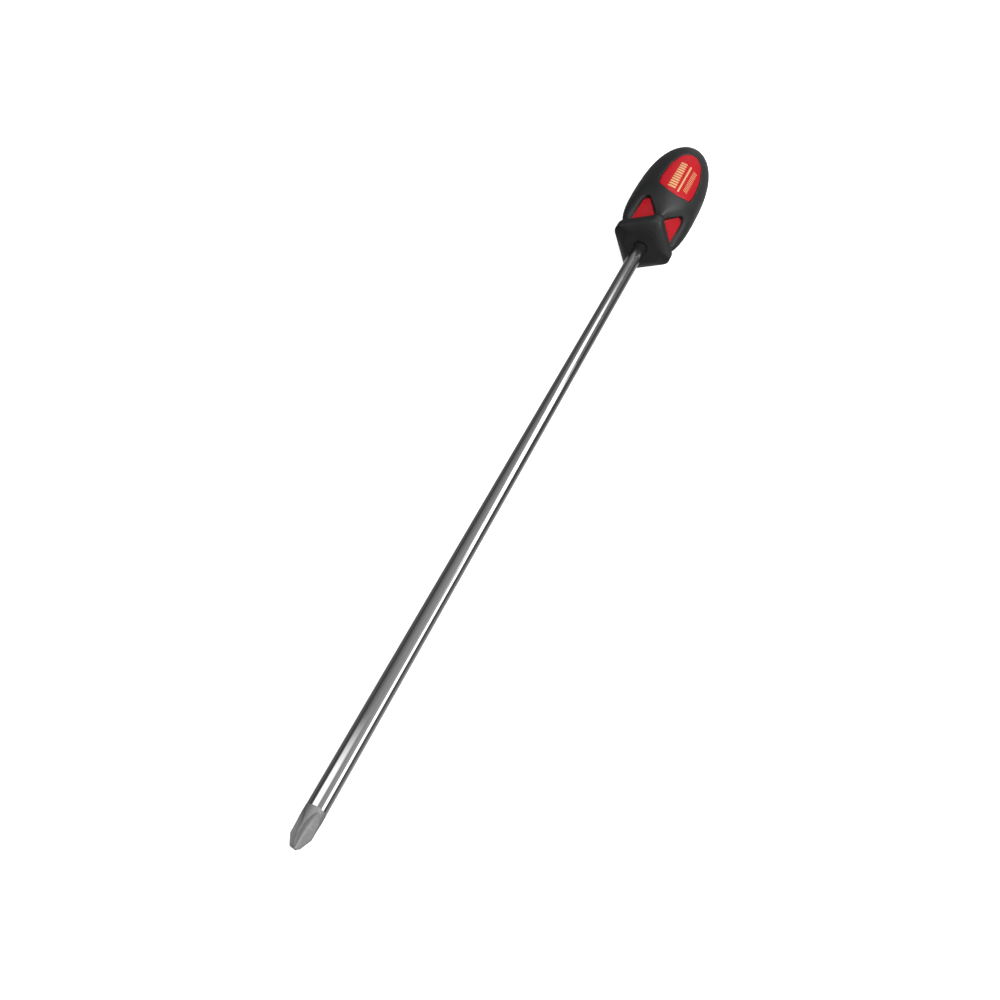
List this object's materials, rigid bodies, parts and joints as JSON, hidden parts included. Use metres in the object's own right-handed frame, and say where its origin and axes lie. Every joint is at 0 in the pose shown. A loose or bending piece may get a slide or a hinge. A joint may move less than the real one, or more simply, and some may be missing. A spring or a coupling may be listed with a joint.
{
  "type": "screwdriver",
  "caption": "Long fixed-blade screwdriver with a number 3 cross point, a round shank, and a hard core showing through windows in a soft moulded grip.",
  "frame": {"origin": "centre of the flat disc at the butt of the handle", "axes": "+X along the tool's axis, from the butt towards the tip; +Z out of the middle of one of the two shield-shaped panels on the palm swell"},
  "size_m": [0.5289, 0.0426, 0.0408],
  "materials": {
    "grip": "satin black, soft moulded",
    "handle_core": "gloss red, moulded",
    "blade": "bright plated bar with a plain grey point"
  },
  "bodies": {
    "root": {"grip": "grip", "handle_core": "handle_core", "blade": "blade"}
  },
  "joints": []
}
